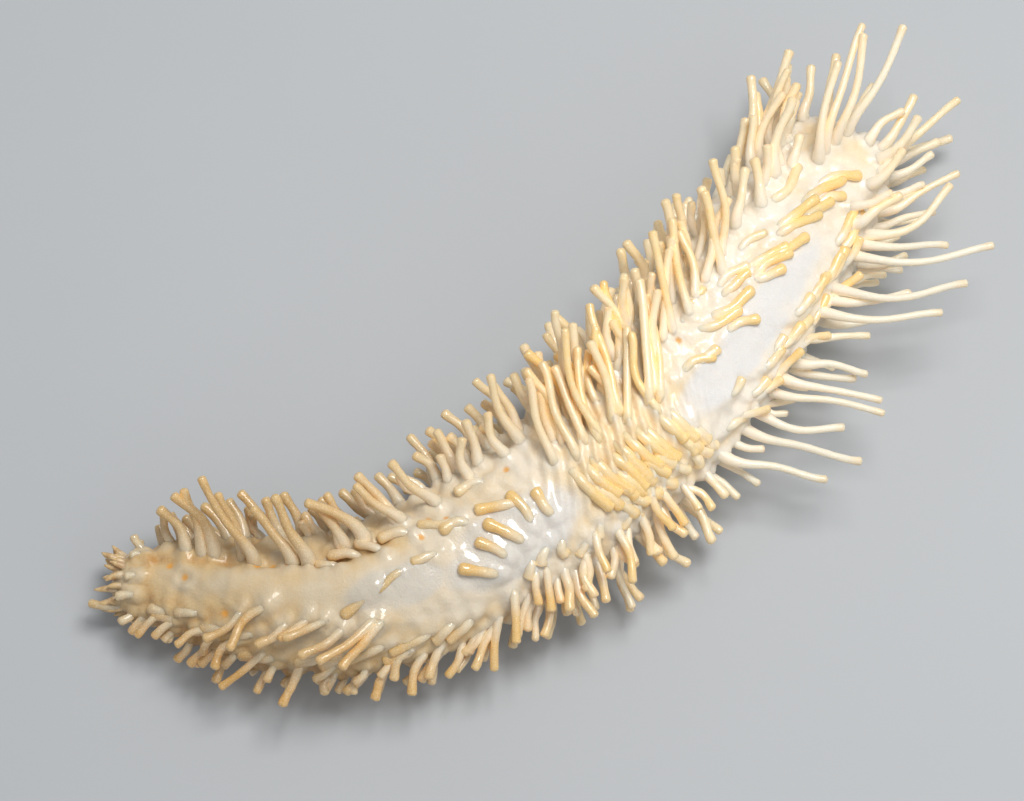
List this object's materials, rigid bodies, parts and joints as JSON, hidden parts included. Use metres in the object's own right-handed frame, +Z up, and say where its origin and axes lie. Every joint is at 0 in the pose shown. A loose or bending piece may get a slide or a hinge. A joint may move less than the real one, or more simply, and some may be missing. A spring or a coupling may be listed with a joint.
{
  "type": "sea cucumber",
  "caption": "Still life-size white sea cucumber lying in a gentle curve on its tube feet, a soft tapering body with rows of stiff finger-like feet all round.",
  "frame": {"origin": "middle of the base of the model's box, on the floor", "axes": "+X along the longer side of the curved body's box, from the vent towards the mouth; +Y across it, towards the side the mouth end curves to; +Z up, out of the back"},
  "size_m": [0.0858, 0.0642, 0.0178],
  "materials": {
    "tail_end_skin": "moist cream-tan skin, a little darker at the vent",
    "rear_body_skin": "moist white skin with cream feet",
    "middle_body_skin": "moist white skin with close yellow-cream feet",
    "front_body_skin": "moist blue-white skin with cream feet",
    "mouth_end_skin": "moist white skin with long pale feet"
  },
  "bodies": {
    "root": {"tail_end": "tail_end_skin", "rear_body": "rear_body_skin", "middle_body": "middle_body_skin", "front_body": "front_body_skin", "mouth_end": "mouth_end_skin"}
  },
  "joints": []
}
